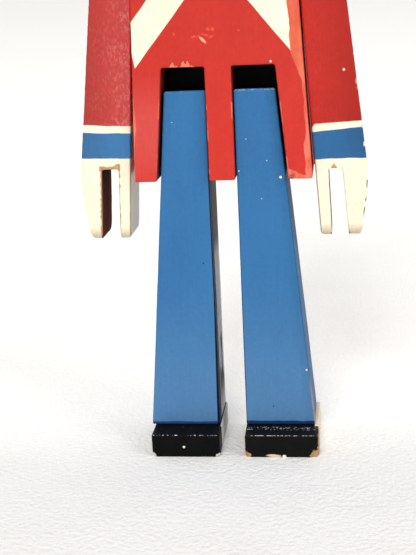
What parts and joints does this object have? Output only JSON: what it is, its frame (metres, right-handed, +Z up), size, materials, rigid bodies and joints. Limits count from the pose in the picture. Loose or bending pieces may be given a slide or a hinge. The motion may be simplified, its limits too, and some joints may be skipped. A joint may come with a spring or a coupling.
{
  "type": "wooden soldier figure",
  "caption": "Painted wooden toy soldier with a slotted coat, flared legs that swing in the slots, arms that turn at the shoulders and hands with a grip slot.",
  "frame": {"origin": "on the floor under the middle of the figure's bounding box", "axes": "+Z up from the soles to the hat, the figure faces -Y, its own left side is at +X"},
  "size_m": [0.1095, 0.0492, 0.326],
  "materials": {
    "coat_red": "satin red paint, worn at the edges",
    "sleeve_red": "glossy dark red paint",
    "trouser_blue": "satin blue paint",
    "shoe_black": "gloss black paint, worn at the corners",
    "hat_black": "satin black paint",
    "head_cream": "satin skin-coloured paint",
    "nose_pink": "satin pink paint",
    "bare_dowel": "bare turned wood",
    "washer_steel": "plain steel"
  },
  "bodies": {
    "body": {"torso": "coat_red", "coat_back": "coat_red", "hip_dowel": "bare_dowel", "left_shoulder_peg": "sleeve_red", "right_shoulder_peg": "sleeve_red", "left_washer": "washer_steel", "right_washer": "washer_steel", "head": "head_cream", "neck_dowel": "bare_dowel", "nose": "nose_pink", "hat_peak": "hat_black", "hat": "hat_black", "hat_dowel": "bare_dowel"},
    "left_arm": {"left_arm": "sleeve_red"},
    "right_arm": {"right_arm": "sleeve_red"},
    "left_leg": {"left_leg": "trouser_blue", "left_shoe": "shoe_black", "left_shoe_dowel": "bare_dowel"},
    "right_leg": {"right_leg": "trouser_blue", "right_shoe": "shoe_black", "right_shoe_dowel": "bare_dowel"}
  },
  "joints": [
    {"name": "left_shoulder", "type": "hinge", "parent": "body", "child": "left_arm", "pos_m": [0.035, 0.0036, 0.23], "axis": [-1, 0, 0], "continuous": true},
    {"name": "right_shoulder", "type": "hinge", "parent": "body", "child": "right_arm", "pos_m": [-0.035, 0.0036, 0.23], "axis": [-1, 0, 0], "continuous": true},
    {"name": "left_hip", "type": "hinge", "parent": "body", "child": "left_leg", "pos_m": [0.0135, 0.0036, 0.1331], "axis": [-1, 0, 0], "range_deg": [-5, 45]},
    {"name": "right_hip", "type": "hinge", "parent": "body", "child": "right_leg", "pos_m": [-0.0135, 0.0036, 0.1331], "axis": [-1, 0, 0], "range_deg": [-5, 45]}
  ]
}
